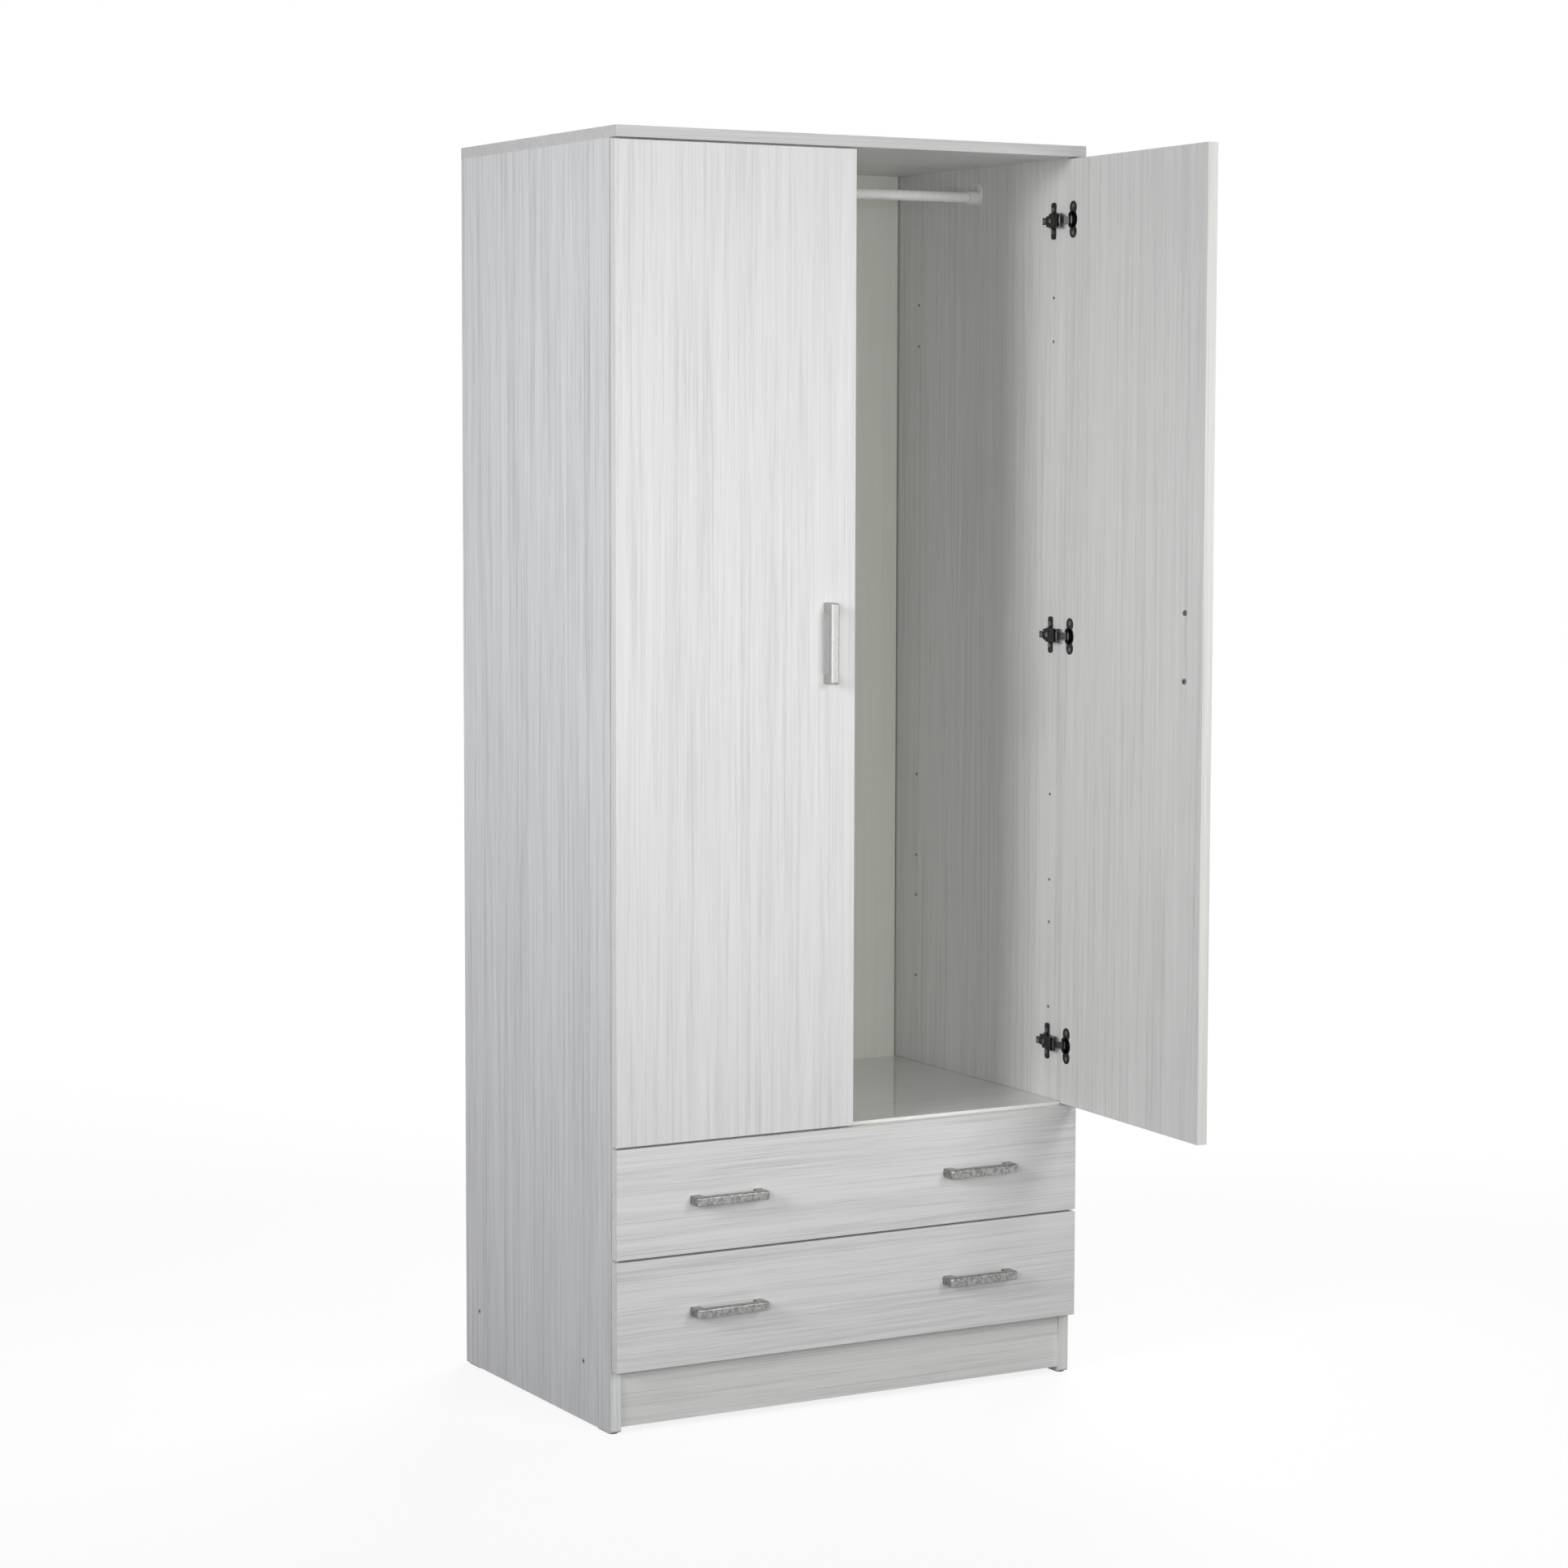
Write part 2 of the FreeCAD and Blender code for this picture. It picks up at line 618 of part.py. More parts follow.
cups = []
cup_screws = []
cup_x = FRONT_HALF - CUP_CENTRE
for z in HINGE_Z:
    face = V(cup_x, FRONT_IN, z)
    door_tools.append(rod(CUP_R, face, face + FORWARD * CUP_DEPTH))
    pocket = rod(CUP_R - CUP_FIT, face, face + FORWARD * CUP_DEPTH)
    hollow = rod(CUP_R - CUP_WALL, face - FORWARD * (FLANGE_T + 1), face + FORWARD * (CUP_DEPTH - CUP_WALL))
    flange = [rod(FLANGE_R, face, face - FORWARD * FLANGE_T)]
    for side in (-1, 1):
        lug = V(FRONT_HALF - LUG_IN, FRONT_IN, z + side * LUG_Z)
        flange.append(rod(LUG_R, lug, lug - FORWARD * FLANGE_T))
    flange = fuse(flange)
    notch_x = FRONT_HALF - NOTCH_IN
    flange_top = FRONT_IN + FLANGE_T
    notch = box(notch_x, FRONT_HALF, FRONT_IN, flange_top, z - NOTCH_HALF, z + NOTCH_HALF)
    flange = flange.cut(notch)
    ears = []
    ear_lo = FRONT_HALF - 12.0
    ear_hi = FRONT_HALF - 6.0
    for low, high in ((z - CUP_R, z - LINK_HALF - 0.5), (z + LINK_HALF + 0.5, z + CUP_R)):
        ears.append(box(ear_lo, ear_hi, FRONT_IN - 6.0, FRONT_IN - 0.4, low, high))
    ears = [ear.common(pocket) for ear in ears]
    pin = Part.makeCylinder(HINGE_PIN_R, 2 * CUP_R, HINGE_B + UP * (z - CUP_R)).common(pocket)
    shell = pocket.fuse(flange).cut(hollow)
    cup = fuse([shell, pin] + ears)
    holes = []
    for side in (-1, 1):
        at = V(FRONT_HALF - LUG_IN, FRONT_IN + FLANGE_T, z + side * CUP_SCREW_Z)
        holes.append(flush_hole(at, FORWARD, 3.2, FLANGE_T, CUP_SCREW_R, 12))
        door_tools.append(rod(CUP_SCREW_R, at, at + FORWARD * 12))
        cup_screws.append(flush_screw(at, FORWARD, 3.2, FLANGE_T, CUP_SCREW_R, 12))
    cups.append(drill(cup, holes))
door = drill(door, door_tools)


def opened(shape, link_only=False):
    posed = shape.copy()
    if not link_only:
        posed.rotate(HINGE_B, UP, REST_CUP)
    posed.rotate(HINGE_A, UP, REST_LINK)
    return posed


DOOR_NODES = {
    "panel": [door],
    "handle": [door_handle],
    "handle_screws": door_handle_screws,
    "hinge_cups": cups,
    "cup_screws": cup_screws,
}
for name, solids in DOOR_NODES.items():
    export("right_door_" + name, [opened(solid) for solid in solids])
    export("left_door_" + name, [mirrored(solid) for solid in solids])
export("right_door_links", [opened(link, True) for link in links])
export("left_door_links", [mirrored(link) for link in links])

# ---- drawer runners on the carcass ----
runners = []
runner_screws = [pan_screw(at, X1, 3.5, 1.5, 2.0, STEEL + 12) for at in runner_screw_points()]
for low in DRAWER_Z.values():
    z = low + BOX_RISE
    roll_low = z + ROLLER_Z - ROLLER_R - RUN_CLEAR
    roof = z + TRACK_Z + STEEL + 0.6
    runner = fuse([
        box(IN - STEEL, IN, YF + 2, RUNNER_BACK, roll_low - STEEL, roof + STEEL),
        box(IN - 10.5, IN, YF + 2, RUNNER_BACK, roll_low - STEEL, roll_low),
        box(IN - 9.0, IN, YF + 30, RUNNER_BACK, roof, roof + STEEL),
        box(IN - 10.5, IN, RUNNER_BACK - STEEL, RUNNER_BACK, roll_low - STEEL, roof + STEEL),
        rod(AXLE_R, V(IN, FRONT_ROLLER_Y, z + ROLLER_Z), V(IN - 9.6, FRONT_ROLLER_Y, z + ROLLER_Z)),
    ])
    holes = []
    for at in runner_screw_points():
        holes.append(rod(2.0, at, at + X1 * STEEL))
    runners.append(drill(runner, holes))
export("cabinet_runners", both(runners))
export("cabinet_runner_screws", both(runner_screws))


def roller(x_out, y, z):
    # pair member: rim, hub bore with running clearance, spokes left solid but dished
    start = V(x_out, y, z)
    end = V(x_out - ROLLER_W, y, z)
    wheel = rod(ROLLER_R, start, end)
    wheel = rounded(wheel, 0.6, lambda e: True)
    for at, into in ((start, -X1), (end, X1)):
        dish = rod(ROLLER_R - 1.6, at, at + into * 1.0).cut(rod(3.2, at, at + into * 1.0))
        wheel = wheel.cut(dish)
        for turn in range(4):
            angle = math.radians(45 + 90 * turn)
            offset = V(0, math.cos(angle), math.sin(angle)) * 4.4
            wheel = wheel.cut(rod(0.7, at + offset, at + offset + into * 1.8))
    return wheel.cut(rod(AXLE_R + AXLE_FIT, start + X1, end - X1))


def drawer(name):
    low = DRAWER_Z[name]
    high = low + FRONT_H
    base = low + BOX_RISE
    floor_z = base + BOX_BOTTOM_RISE
    handle_z = (low + high) / 2 - DRAWER_HANDLE_DROP

    side_front = FRONT_IN - HOUSING
    floor = box(
        -BOX_IN - BOX_GROOVE + 0.3,
        BOX_IN + BOX_GROOVE - 0.3,
        FRONT_IN - HOUSING + 0.3,
        BOX_BACK - 2,
        floor_z,
        floor_z + BOX_BOTTOM_T,
    )
    groove = box(
        -BOX_IN - BOX_GROOVE,
        BOX_IN + BOX_GROOVE,
        FRONT_IN - HOUSING,
        BOX_BACK + 1,
        floor_z,
        floor_z + BOX_BOTTOM_T,
    )
    export(name + "_drawer_bottom", floor)

    side = box(BOX_IN, BOX_OUT, side_front, BOX_BACK, base, base + BOX_HEIGHT)
    side = rounded(side, 2.0, lambda e: along(e, V(0, 1, 0)) and e.CenterOfMass.z > base + 50)
    housing = box(BOX_IN, BOX_OUT, side_front, FRONT_IN, base, base + BOX_HEIGHT)
    back = box(-BOX_IN, BOX_IN, BOX_BACK - BOX_SIDE_T, BOX_BACK, floor_z + BOX_BOTTOM_T, base + BOX_HEIGHT)

    screws = []
    tools = []
    for z in (base + 40.0, base + 92.0):
        at = V(BOX_OUT, BOX_BACK - BOX_SIDE_T / 2, z)
        screws.append(pan_screw(at, -X1, 3.2, 1.2, 1.6, 34))
        tools.append(rod(1.6, at, at - X1 * 34))
    for share in (0.13, 0.49, 0.8):
        at = V(BOX_OUT + STEEL, FRONT_IN + BOX_LENGTH * share, base + 6.0)
        screws.append(pan_screw(at, -X1, 3.2, 1.2, 1.6, 11))
        tools.append(rod(1.6, at, at - X1 * 11))
    side = drill(side, [groove] + tools)
    export(name + "_drawer_right_side", side)
    export(name + "_drawer_left_side", mirrored(side))
    export(name + "_drawer_back", drill(back, both(tools)))
    export(name + "_drawer_screws", both(screws))

    front = box(-FRONT_HALF, FRONT_HALF, FRONT_OUT, FRONT_IN, low, high)
    front = rounded(front, 0.8, lambda e: e.CenterOfMass.y < FRONT_OUT + 0.01)
    front_tools = both([housing]) + [groove]
    handles = []
    handle_screws = []
    centre = V(HALF - DRAWER_HANDLE_IN, FRONT_OUT, handle_z)
    handles.append(handle_shape(centre, X1))
    for at in handle_screw_points(centre, X1):
        head_at = V(at.x, FRONT_IN, at.z)
        front_tools += both([rod(HANDLE_SCREW_R, head_at, at)])
        handle_screws.append(pan_screw(head_at, FORWARD, 4.0, 2.2, HANDLE_SCREW_R, BOARD + 8))
    export(name + "_drawer_front", drill(front, front_tools))
    export(name + "_drawer_handles", both(handles))
    export(name + "_drawer_handle_screws", both(handle_screws))

    leg_out = BOX_OUT + STEEL
    rail_front = FRONT_IN + 2
    member = fuse([
        box(BOX_OUT, leg_out, rail_front, BOX_BACK, base - STEEL, base + TRACK_Z + STEEL),
        box(BOX_OUT - 9, leg_out, rail_front, BOX_BACK, base - STEEL, base),
        box(BOX_OUT, IN - 3, rail_front, BOX_BACK, base + TRACK_Z, base + TRACK_Z + STEEL),
        rod(AXLE_R, V(BOX_OUT, REAR_ROLLER_Y, base + ROLLER_Z), V(IN - 3.6, REAR_ROLLER_Y, base + ROLLER_Z)),
    ])
    member = drill(member, tools)
    export(name + "_drawer_runners", both([member]))

    fixed_wheel = roller(IN - 3.0, FRONT_ROLLER_Y, base + ROLLER_Z)
    riding_wheel = roller(IN - 4.3, REAR_ROLLER_Y, base + ROLLER_Z)
    export(name + "_cabinet_rollers", both([fixed_wheel]))
    export(name + "_drawer_rollers", both([riding_wheel]))


drawer("lower")
drawer("upper")
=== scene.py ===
import json
import math

import bpy
from mathutils import Matrix, Vector

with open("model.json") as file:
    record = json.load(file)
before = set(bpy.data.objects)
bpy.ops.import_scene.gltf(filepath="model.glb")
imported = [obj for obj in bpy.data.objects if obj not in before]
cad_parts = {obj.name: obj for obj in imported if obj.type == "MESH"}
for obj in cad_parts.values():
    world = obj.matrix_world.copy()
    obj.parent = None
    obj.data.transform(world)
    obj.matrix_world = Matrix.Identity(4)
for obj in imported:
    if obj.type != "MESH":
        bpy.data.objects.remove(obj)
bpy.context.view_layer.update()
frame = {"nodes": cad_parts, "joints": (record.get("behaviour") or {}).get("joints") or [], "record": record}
NODES = frame["nodes"]
JOINTS = {joint["name"]: joint for joint in frame["joints"]}

MM = 0.001

# ---- camera, in metres and radians; the focal length and the shift are in image widths ----
SENSOR = 36.0
CAMERA_AT = Vector((-2.75465, -4.97775, 1.40362))
CAMERA_YAW = 0.51131
CAMERA_PITCH = 0.08338
CAMERA_ROLL = 0.00246
FOCAL_WIDTHS = 2.44009
CENTRE_SHIFT = (-0.00344, -0.01830)

# ---- room ----
FLOOR_HALF = 12.0
FLOOR_LEVEL = 128
FLOOR_ROUGHNESS = 0.9
# What the floor adds for the eye alone, near its middle and far from it, and those two distances.
FLOOR_GLOW = (0.84, 1.0)
FLOOR_REACH = (1.5, 5.0)
WORLD_LIGHT = 0.1

# Lamps: name, place, aim, size, spread in degrees, watts.
LAMPS = [
    ("key", (1.3, -3.8, 2.5), (0, 0, 0.9), 1.0, 90, 7.2),
    ("front", (0.3, -4.0, 1.2), (0, 0, 1.1), 1.4, 90, 11.0),
    ("left", (-4.0, -1.6, 2.2), (-0.4, 0, 1.35), 1.4, 68, 16.0),
    ("near_left", (-2.1, -3.0, 1.2), (-0.1, 0, 0.95), 1.0, 100, 8.0),
    ("rear", (2.7, 2.9, 3.7), (0, 0, 1.0), 3.0, 120, 68.0),
]

# ---- board ----
# Layers of the grain: noise scale, stretch along the grain, detail, roughness, share of the whole.
STREAK = (120, 0.014, 3, 0.5, 0.26)
GRAIN = [
    (420, 0.009, 3, 0.6, 0.42),
    (300, 0.040, 2, 0.5, 0.16),
    (26, 0.030, 2, 0.5, 0.16),
]
# Grain values that take the dark, the plain and the light tone; the light one is this share as strong.
GRAIN_STOPS = (0.38, 0.50, 0.60)
LIGHT_SHARE = 0.4
GRAIN_RELIEF = 0.12 * MM

CLOUD_SCALE = 2.2
CLOUD_STRENGTH = 0.10
CLOUD_TONE = 0.9

# The glue line of the edge band: its distance from the edge, its reach, strength and tone.
BAND_LINE = 0.6 * MM
BAND_SOFT = 0.35 * MM
LINE_STRENGTH = 0.35
LINE_TONE = 0.45
LINE_SUNK = 0.6

# Rubbed edges with a painted edge highlight: the colour lightens in patches near the edges.
WEAR_HIGHLIGHT_REACH = 2.5 * MM
WEAR_HIGHLIGHT_SCALE = 38
WEAR_HIGHLIGHT_STRENGTH = 0.18
WEAR_HIGHLIGHT_TONE = 1.08

# The band itself shows on the outermost faces.
BAND_DEEP = 0.15 * MM
EDGE_TONE = (1.04, 1.04, 1.01, 1.0)
# The top panel's edges are darkened as a painted shade.
TOP_EDGE_SHADE = (0.80, 0.80, 0.80, 1.0)

# Painted shade in the joints: reach of the dark line, its soft rim, and how much of the colour is left in
# it.
SEAM_REACH = 2.2 * MM
SEAM_RIM = 0.7 * MM
SEAM_LEFT = 0.28

# Raw chipboard, darkened by painted shade, shows on faces that lie deeper in the board than this, such as
# the walls of holes.
# The sides' lower front corners are rounded further in than that, and keep their band.
CORE_DEPTH = 0.5 * MM
SIDE_CORE_DEPTH = 1.4 * MM
CORE_SCALE = 700
CHIP_SHADED = (0.14, 0.10, 0.065, 1.0)
CHIP_DARK = 0.55


def linear(level):
    level = level / 255
    return level / 12.92 if level <= 0.04045 else ((level + 0.055) / 1.055) ** 2.4


def colour(red, green, blue):
    return (linear(red), linear(green), linear(blue), 1.0)


def shade(tint, factor):
    return tuple(channel * factor for channel in tint[:3]) + (1.0,)


# ---- finishes ----
BOARD = colour(226, 227, 226)
# The left side panel's colour carries a painted bluish cast of the light falling on it.
LEFT_SIDE_BLUE_CAST = colour(224, 225, 228)
SHELF = colour(224, 225, 223)
BACK = colour(244, 244, 236)
# The deck's edges are whitened as a painted highlight.
DECK_EDGE_HIGHLIGHT = colour(242, 243, 239)
BOX_WHITE = colour(236, 236, 234)

# The right door stands open at rest, by its swing less the quarter that its links turn back.
# Its board is measured and grained along its own axes, from the cup pin.
DOOR_SWING = JOINTS["right_door_swing"]
OPEN_ANGLE = math.radians(-DOOR_SWING["range_deg"][0] * 3 / 4)
DOOR_PIN = Vector(DOOR_SWING["pos_m"])


# ---- material nodes ----
class Shader:
    def __init__(self, name):
        self.material = bpy.data.materials.new(name)
        self.material.use_nodes = True
        self.tree = self.material.node_tree
        self.surface = self.tree.nodes["Principled BSDF"]

    def node(self, kind, **values):
        made = self.tree.nodes.new(kind)
        for key, value in values.items():
            setattr(made, key, value)
        return made

    def link(self, source, target):
        self.tree.links.new(source, target)

    def feed(self, socket, value):
        if isinstance(value, (int, float, tuple)):
            socket.default_value = value
        else:
            self.link(value, socket)

    def math(self, operation, a, b, clamp=False):
        made = self.node("ShaderNodeMath", operation=operation, use_clamp=clamp)
        self.feed(made.inputs[0], a)
        self.feed(made.inputs[1], b)
        return made.outputs[0]

    def distance(self, value, place):
        return self.math("ABSOLUTE", self.math("SUBTRACT", value, place), 0)

    def near(self, gap, reach):
        # 1 where the gap is nothing, falling to 0 at the reach
        return self.math("SUBTRACT", 1.0, self.math("DIVIDE", gap, reach), clamp=True)

    def place(self, turned=False):
        coords = self.node("ShaderNodeTexCoord").outputs["Object"]
        if not turned:
            return coords
        mapping = self.node("ShaderNodeMapping", vector_type="TEXTURE")
        mapping.inputs["Location"].default_value = DOOR_PIN
        mapping.inputs["Rotation"].default_value = (0, 0, OPEN_ANGLE)
        self.link(coords, mapping.inputs["Vector"])
        return mapping.outputs[0]

    def noise(self, coords, scale, detail, stretch=(1, 1, 1), rough=0.5):
        mapping = self.node("ShaderNodeMapping")
        mapping.inputs["Scale"].default_value = stretch
        self.link(coords, mapping.inputs["Vector"])
        made = self.node("ShaderNodeTexNoise")
        made.inputs["Scale"].default_value = scale
        made.inputs["Detail"].default_value = detail
        made.inputs["Roughness"].default_value = rough
        self.link(mapping.outputs[0], made.inputs["Vector"])
        return made.outputs["Fac"]

    def ramp(self, factor, stops):
        made = self.node("ShaderNodeValToRGB")
        elements = made.color_ramp.elements
        while len(elements) < len(stops):
            elements.new(0.5)
        for element, (at, tint) in zip(elements, stops):
            element.position = at
            element.color = tint
        self.link(factor, made.inputs["Fac"])
        return made.outputs["Color"]

    def mix(self, factor, a, b, blend="MIX"):
        made = self.node("ShaderNodeMix", data_type="RGBA", blend_type=blend)
        self.feed(made.inputs[0], factor)
        self.feed(made.inputs[6], a)
        self.feed(made.inputs[7], b)
        return made.outputs[2]

    def span(self, value, low, high):
        made = self.node("ShaderNodeMapRange")
        made.inputs["To Min"].default_value = low
        made.inputs["To Max"].default_value = high
        self.link(value, made.inputs["Value"])
        return made.outputs[0]

    def bump(self, height, distance, strength):
        made = self.node("ShaderNodeBump")
        made.inputs["Distance"].default_value = distance
        made.inputs["Strength"].default_value = strength
        self.link(height, made.inputs["Height"])
        self.link(made.outputs[0], self.surface.inputs["Normal"])

    def cover(self, body, rough):
        self.link(body, self.surface.inputs["Base Color"])
        self.link(rough, self.surface.inputs["Roughness"])

    def set(self, **values):
        for key, value in values.items():
            self.surface.inputs[key.replace("_", " ")].default_value = value


def paint(node, material):
    mesh = NODES[node].data
    if not mesh.materials:
        mesh.materials.append(material)
    for index in range(len(mesh.materials)):
        mesh.materials[index] = material


# ---- board: printed grain, edge bands (painted shade on the top's, painted highlight on the deck's), rubbed edges with a painted highlight, painted shade in the joints, raw core darkened by painted shade in the holes ----
def local_box(node, turned=False):
    turn = Matrix.Rotation(-OPEN_ANGLE, 4, "Z") if turned else Matrix.Identity(4)
    start = DOOR_PIN if turned else Vector((0, 0, 0))
    points = [turn @ (v.co - start) for v in NODES[node].data.vertices]
    low = Vector([min(p[i] for p in points) for i in range(3)])
    high = Vector([max(p[i] for p in points) for i in range(3)])
    return low, high


def board_gaps(shader, place, low, high):
    # distance inwards from the board's two broad faces, and from its nearest edge
    gaps = []
    for i in range(3):
        off = shader.distance(place[i], (low[i] + high[i]) / 2)
        gaps.append(shader.math("SUBTRACT", (high[i] - low[i]) / 2, off))
    thin = min(range(3), key=lambda i: high[i] - low[i])
    first, second = [gaps[i] for i in range(3) if i != thin]
    return thin, gaps[thin], shader.math("MINIMUM", first, second)


def grain_layers(shader, coords, along):
    def layer(scale, run, detail, rough):
        stretch = tuple(run if axis == along else 1.0 for axis in "XYZ")
        return shader.noise(coords, scale, detail, stretch, rough)

    streak = layer(*STREAK[:4])
    total = shader.math("MULTIPLY", streak, STREAK[4])
    for scale, run, detail, rough, share in GRAIN:
        part = shader.math("MULTIPLY", layer(scale, run, detail, rough), share)
        total = shader.math("ADD", total, part)
    return total, streak


def printed(shader, coords, grain, tint, depth):
    tones = (shade(tint, 1 - depth), tint, shade(tint, 1 + depth * LIGHT_SHARE))
    body = shader.ramp(grain, list(zip(GRAIN_STOPS, tones)))
    cloud = shader.noise(coords, scale=CLOUD_SCALE, detail=2)
    return shader.mix(shader.span(cloud, 0.0, CLOUD_STRENGTH), body, shade(tint, CLOUD_TONE), "MULTIPLY")


def worn_and_highlit(shader, coords, body, edge, tint):
    patches = shader.noise(coords, WEAR_HIGHLIGHT_SCALE, detail=5)
    patchy = shader.math("MULTIPLY", shader.near(edge, WEAR_HIGHLIGHT_REACH), patches)
    return shader.mix(shader.math("MULTIPLY", patchy, WEAR_HIGHLIGHT_STRENGTH), body, shade(tint, WEAR_HIGHLIGHT_TONE))


# the band faces take the band's tone, darkened on the top panel as a painted shade and whitened on the deck
# as a painted highlight
def banded(shader, body, edge, edging_and_shade, gloss_and_highlight):
    on_band = shader.math("LESS_THAN", edge, BAND_DEEP)
    band = DECK_EDGE_HIGHLIGHT if gloss_and_highlight else shader.mix(1.0, body, edging_and_shade, "MULTIPLY")
    return shader.mix(on_band, body, band)


def shadowed(shader, body, across, seam, tint, inside=None):
    left = shader.math("SUBTRACT", SEAM_REACH, shader.distance(across, seam))
    dark = shader.math("DIVIDE", left, SEAM_RIM, clamp=True)
    if inside is not None:
        dark = shader.math("MULTIPLY", dark, inside)
    return shader.mix(dark, body, shade(tint, SEAM_LEFT))


def cored_and_shaded(shader, coords, body, deep, core_depth):
    inside = shader.math("GREATER_THAN", deep, core_depth)
    chip = shader.noise(coords, scale=CORE_SCALE, detail=3)
    core = shader.ramp(chip, [(0.35, shade(CHIP_SHADED, CHIP_DARK)), (0.6, CHIP_SHADED)])
    return shader.mix(inside, body, core)


def board(node, tint, along, turned=False, depth=0.16, rough=(0.36, 0.48), core_depth=CORE_DEPTH,
          edging_and_shade=EDGE_TONE, seams=(), gloss_and_highlight=False):
    shader = Shader(node + "_board")
    coords = shader.place(turned)
    split = shader.node("ShaderNodeSeparateXYZ")
    shader.link(coords, split.inputs[0])
    place = split.outputs
    low, high = local_box(node, turned)
    thin, face, edge = board_gaps(shader, place, low, high)
    grain, streak = grain_layers(shader, coords, along)
    body = printed(shader, coords, grain, tint, depth)
    line = shader.near(shader.distance(edge, BAND_LINE), BAND_SOFT)
    body = shader.mix(shader.math("MULTIPLY", line, LINE_STRENGTH), body, shade(tint, LINE_TONE))
    # rubbed edges, lightened in patches as a painted edge highlight
    body = worn_and_highlit(shader, coords, body, edge, tint)
    body = banded(shader, body, edge, edging_and_shade, gloss_and_highlight)
    # an upright board gets the painted joint shade on its front only
    inside = shader.math("LESS_THAN", place[1], (low.y + high.y) / 2) if seams and thin == 1 else None
    for seam in seams:
        body = shadowed(shader, body, place[0], seam, tint, inside)
    # raw chipboard in the holes, far darker than chipboard is, as painted shade
    body = cored_and_shaded(shader, coords, body, shader.math("MINIMUM", face, edge), core_depth)
    shader.cover(body, shader.span(streak, *rough))
    relief = shader.math("SUBTRACT", grain, shader.math("MULTIPLY", line, LINE_SUNK))
    shader.bump(relief, GRAIN_RELIEF, strength=0.45)
    shader.set(Specular_IOR_Level=0.42)
    if gloss_and_highlight:
        shader.set(Coat_Weight=1.0, Coat_Roughness=0.04, Coat_IOR=1.6)
    paint(node, shader.material)


def paint_boards():
    inner_left = local_box("left_side_panel")[1].x
    inner_right = local_box("right_side_panel")[0].x
    back_rough = (0.45, 0.6)
    # the left side panel's colour holds a painted bluish cast of the light
    board("left_side_panel", LEFT_SIDE_BLUE_CAST, "Z", depth=0.27, core_depth=SIDE_CORE_DEPTH)
    board("right_side_panel", BOARD, "Z", core_depth=SIDE_CORE_DEPTH)
    # the top panel's edges get a painted shade
    board("top_panel", BOARD, "X", edging_and_shade=TOP_EDGE_SHADE)
    board("left_door_panel", BOARD, "Z")
    board("right_door_panel", BOARD, "Z", turned=True)
    board("plinth", SHELF, "X", depth=0.2)
    board("bottom_panel", SHELF, "X")
    # the deck's edges are whitened as a painted highlight
    board("drawer_deck", SHELF, "X", depth=0.08, seams=(inner_left, inner_right), gloss_and_highlight=True)
    board("back_panel_left", BACK, "Z", depth=0.05, rough=back_rough, seams=(inner_left,))
    board("back_panel_right", BACK, "Z", depth=0.05, rough=back_rough, seams=(inner_right,))
    for level in ("lower", "upper"):
        board(level + "_drawer_front", BOARD, "X", depth=0.2)
        for part, along in (("left_side", "Y"), ("right_side", "Y"), ("back", "X"), ("bottom", "X")):
            board("{}_drawer_{}".format(level, part), BOX_WHITE, along, depth=0.04)


# ---- metal, plastic, enamel ----
def metal(name, tint, rough, scale=900, relief=0.03 * MM):
    shader = Shader(name)
    coords = shader.place()
    fine = shader.noise(coords, scale, detail=4)
    stain = shader.noise(coords, scale=26, detail=3)
    body = shader.ramp(fine, [(0.3, shade(tint, 0.88)), (0.7, shade(tint, 1.05))])
    body = shader.mix(shader.span(stain, 0.0, 0.22), body, shade(tint, 0.75))
    shader.cover(body, shader.span(fine, rough * 0.8, rough * 1.25))
    shader.bump(fine, relief, strength=0.4)
    shader.set(Metallic=1.0)
    return shader.material


def moulded(name, tint, rough):
    shader = Shader(name)
    coords = shader.place()
    pebble = shader.noise(coords, scale=1400, detail=3)
    stain = shader.noise(coords, scale=18, detail=3)
    body = shader.ramp(stain, [(0.3, shade(tint, 0.95)), (0.7, tint)])
    shader.cover(body, shader.span(pebble, rough - 0.07, rough + 0.07))
    shader.bump(pebble, 0.04 * MM, strength=0.35)
    shader.set(Specular_IOR_Level=0.4)
    return shader.material


def enamel(name, tint):
    shader = Shader(name)
    coords = shader.place()
    peel = shader.noise(coords, scale=260, detail=2)
    stain = shader.noise(coords, scale=9, detail=3)
    body = shader.ramp(stain, [(0.3, shade(tint, 0.96)), (0.7, tint)])
    shader.cover(body, shader.span(peel, 0.22, 0.34))
    shader.bump(peel, 0.05 * MM, strength=0.3)
    shader.set(Coat_Weight=0.25, Coat_Roughness=0.15)
    return shader.material


def bar_handle(name, tint, rough, mottle):
    shader = Shader(name)
    coords = shader.place()
    fine = shader.noise(coords, scale=900, detail=3)
    blotch = shader.noise(coords, scale=240, detail=3)
    body = shader.ramp(blotch, [(0.38, shade(tint, 1 - mottle)), (0.62, shade(tint, 1 + mottle * 0.6))])
    shader.cover(body, shader.span(fine, rough * 0.8, rough * 1.2))
    shader.bump(shader.math("ADD", blotch, fine), 0.10 * MM, strength=0.5)
    shader.set(Metallic=1.0)
    return shader.material


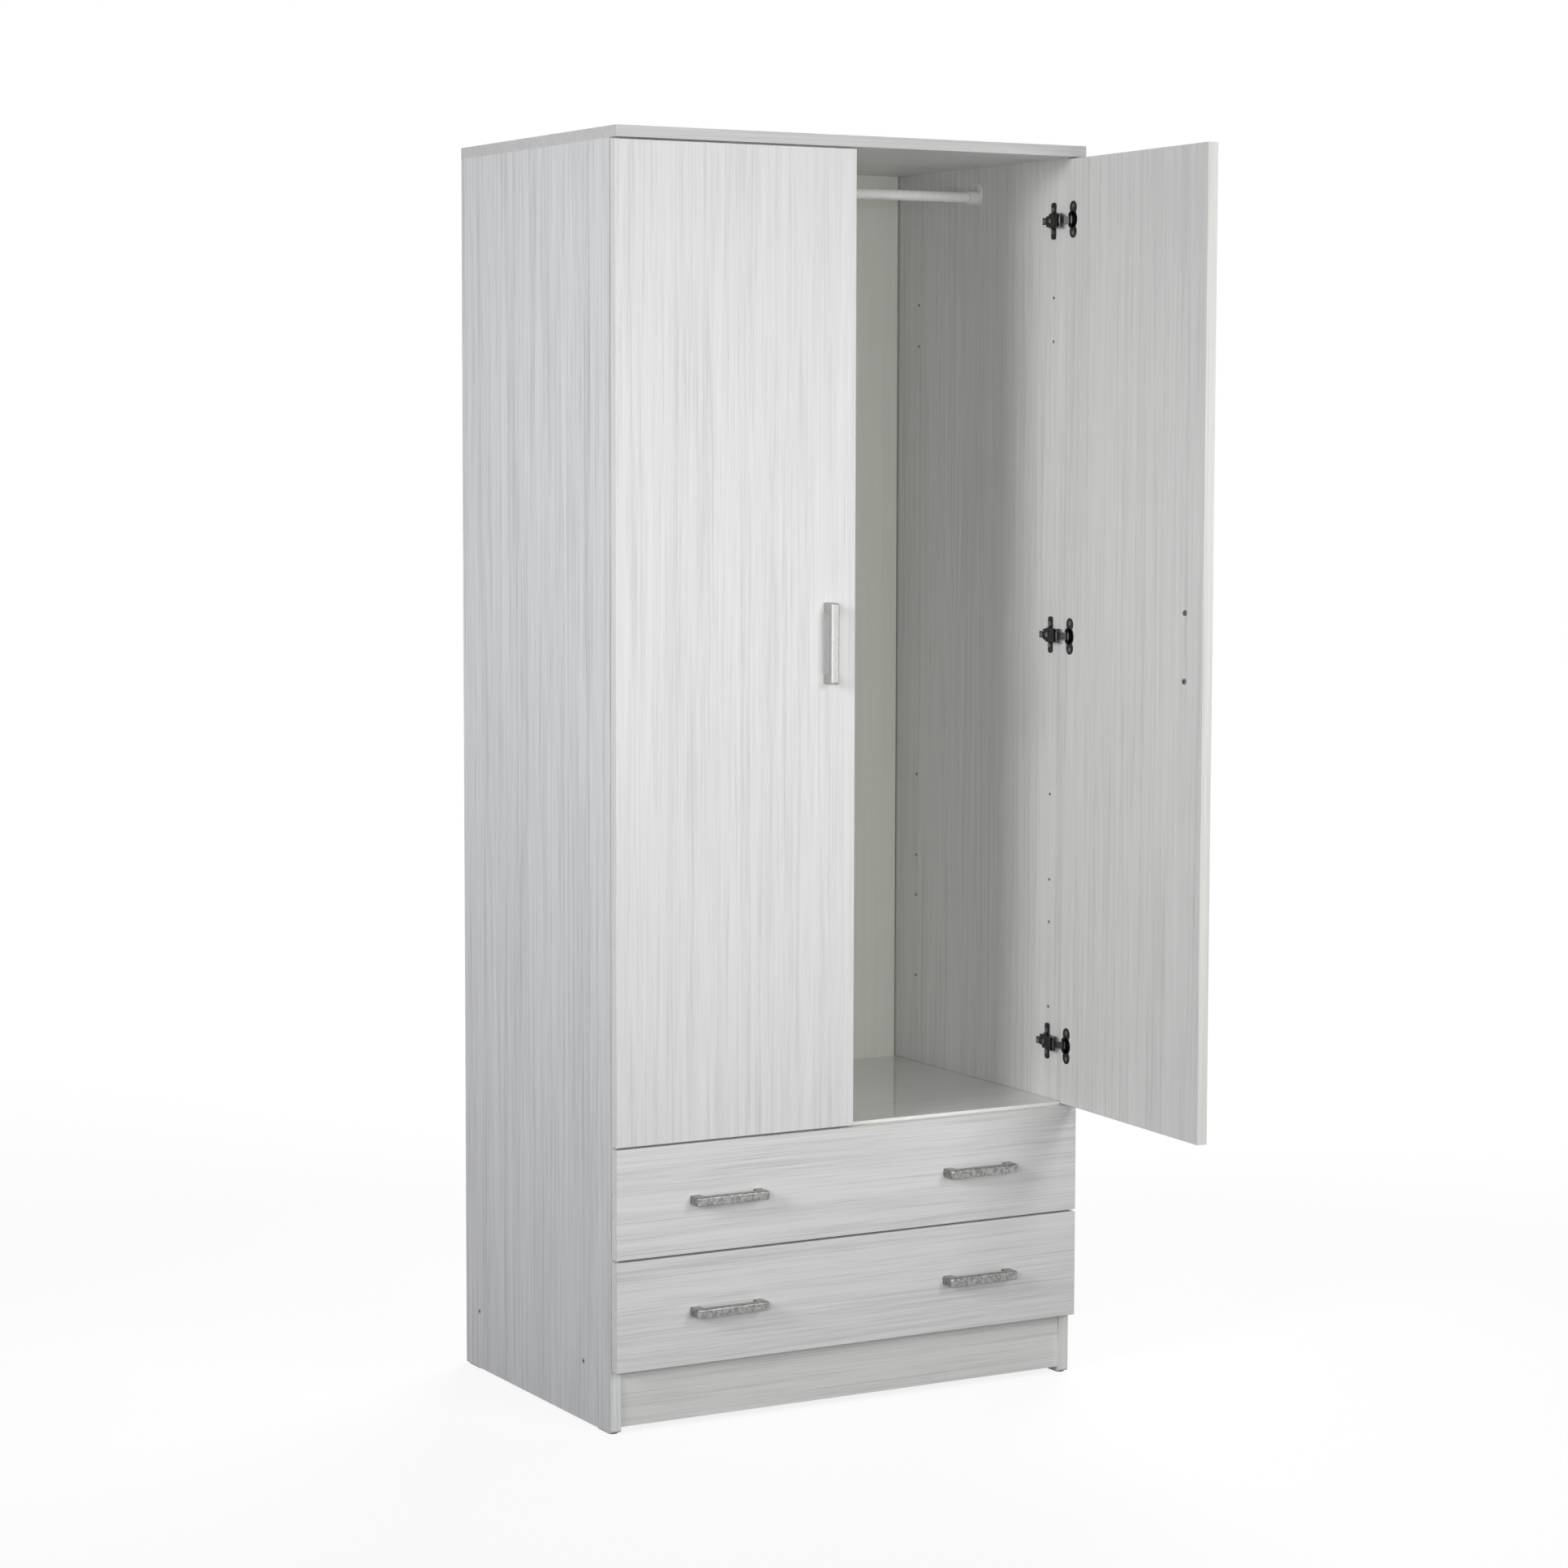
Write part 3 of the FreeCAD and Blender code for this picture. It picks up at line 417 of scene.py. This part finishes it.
def paint_hardware():
    finishes = {
        "white_plastic": moulded("white_moulding", colour(232, 232, 230), 0.42),
        "grey_plastic": moulded("grey_moulding", colour(96, 96, 98), 0.5),
        "roller_plastic": moulded("nylon", colour(228, 228, 222), 0.38),
        "rail_enamel": enamel("rail_white", colour(240, 240, 238)),
        "runner_enamel": enamel("runner_white", colour(232, 232, 228)),
        "hinge_nickel": metal("dark_nickel", colour(72, 72, 74), 0.30),
        "hinge_screw": metal("dark_zinc", colour(150, 150, 152), 0.30),
        "screw_steel": metal("zinc_plate", colour(150, 150, 152), 0.32),
        "nail_steel": metal("bright_steel", colour(184, 184, 186), 0.36),
        "zinc": metal("cast_zinc", colour(186, 187, 189), 0.45, scale=500, relief=0.06 * MM),
        "dowel_wood": moulded("beech", colour(206, 172, 128), 0.62),
    }
    for part in frame["record"]["subparts"]:
        material = finishes.get(part["material_slot"])
        if material:
            paint(part["node"], material)
    paint("cam_caps", moulded("cap_moulding", BOARD, 0.42))
    paint("rail_support_screws", metal("bright_zinc", colour(214, 215, 217), 0.45))
    # One satin finish in two copies: a lighter one on the doors as a painted highlight, and a darker,
    # strongly mottled one on the drawers as painted shade with mottled painted highlights.
    door_handle_lit = bar_handle("door_handle_satin_lit", colour(176, 176, 174), 0.58, 0.05)
    drawer_handle_shaded = bar_handle("drawer_handle_satin_shaded", colour(150, 150, 148), 0.30, 0.34)
    for side in ("left", "right"):
        paint(side + "_door_handle", door_handle_lit)
    for level in ("lower", "upper"):
        paint(level + "_drawer_handles", drawer_handle_shaded)


# ---- room, lamps, camera ----
def seen_directly(tree):
    # 1 for camera, glossy and transmission rays, 0 for diffuse ones
    path = tree.nodes.new("ShaderNodeLightPath")
    total = path.outputs["Is Camera Ray"]
    for name in ("Is Glossy Ray", "Is Transmission Ray"):
        made = tree.nodes.new("ShaderNodeMath")
        made.operation = "MAXIMUM"
        tree.links.new(total, made.inputs[0])
        tree.links.new(path.outputs[name], made.inputs[1])
        total = made.outputs[0]
    return total


def make_floor():
    # white wherever it is fully lit; the object's shadow still shows on it
    mesh = bpy.data.meshes.new("floor")
    corners = [(-1, -1), (1, -1), (1, 1), (-1, 1)]
    mesh.from_pydata([(x * FLOOR_HALF, y * FLOOR_HALF, 0) for x, y in corners], [], [(0, 1, 2, 3)])
    floor = bpy.data.objects.new("floor", mesh)
    bpy.context.scene.collection.objects.link(floor)
    shader = Shader("floor_white")
    grey = colour(FLOOR_LEVEL, FLOOR_LEVEL, FLOOR_LEVEL)
    shader.set(Base_Color=grey, Roughness=FLOOR_ROUGHNESS, Specular_IOR_Level=0.0)
    away = shader.node("ShaderNodeVectorMath", operation="LENGTH")
    shader.link(shader.place(), away.inputs[0])
    level = shader.node("ShaderNodeMapRange")
    level.inputs["From Min"].default_value, level.inputs["From Max"].default_value = FLOOR_REACH
    level.inputs["To Min"].default_value, level.inputs["To Max"].default_value = FLOOR_GLOW
    shader.link(away.outputs["Value"], level.inputs["Value"])
    glow = shader.node("ShaderNodeEmission")
    glow.inputs["Color"].default_value = (1, 1, 1, 1)
    strength = shader.math("MULTIPLY", seen_directly(shader.tree), level.outputs[0])
    shader.link(strength, glow.inputs["Strength"])
    both = shader.node("ShaderNodeAddShader")
    shader.link(shader.surface.outputs[0], both.inputs[0])
    shader.link(glow.outputs[0], both.inputs[1])
    shader.link(both.outputs[0], shader.tree.nodes["Material Output"].inputs["Surface"])
    mesh.materials.append(shader.material)


def make_world():
    world = bpy.data.worlds.new("studio")
    bpy.context.scene.world = world
    world.use_nodes = True
    tree = world.node_tree
    background = tree.nodes["Background"]
    background.inputs["Color"].default_value = (1, 1, 1, 1)
    strength = tree.nodes.new("ShaderNodeMapRange")
    strength.inputs["To Min"].default_value = WORLD_LIGHT
    strength.inputs["To Max"].default_value = 1.0
    tree.links.new(seen_directly(tree), strength.inputs["Value"])
    tree.links.new(strength.outputs[0], background.inputs["Strength"])


def make_lamps():
    for name, at, aim, size, spread, watts in LAMPS:
        data = bpy.data.lights.new(name, "AREA")
        data.size = size
        data.spread = math.radians(spread)
        data.energy = watts
        made = bpy.data.objects.new(name, data)
        made.location = at
        made.rotation_mode = "QUATERNION"
        made.rotation_quaternion = (Vector(aim) - Vector(at)).to_track_quat("-Z", "Y")
        bpy.context.scene.collection.objects.link(made)


def make_camera():
    forward = Vector((
        math.sin(CAMERA_YAW) * math.cos(CAMERA_PITCH),
        math.cos(CAMERA_YAW) * math.cos(CAMERA_PITCH),
        -math.sin(CAMERA_PITCH),
    ))
    level = Vector((math.cos(CAMERA_YAW), -math.sin(CAMERA_YAW), 0))
    upright = level.cross(forward)
    right = level * math.cos(CAMERA_ROLL) + upright * math.sin(CAMERA_ROLL)
    up = upright * math.cos(CAMERA_ROLL) - level * math.sin(CAMERA_ROLL)
    data = bpy.data.cameras.new("camera")
    data.sensor_width = SENSOR
    data.lens = FOCAL_WIDTHS * SENSOR
    data.shift_x, data.shift_y = CENTRE_SHIFT
    camera = bpy.data.objects.new("camera", data)
    bpy.context.scene.collection.objects.link(camera)
    turn = Matrix((right, up, -forward)).transposed().to_4x4()
    camera.matrix_world = Matrix.Translation(CAMERA_AT) @ turn
    bpy.context.scene.camera = camera


make_camera()
make_world()
make_floor()
make_lamps()
paint_boards()
paint_hardware()
bpy.context.scene.view_settings.view_transform = "Standard"
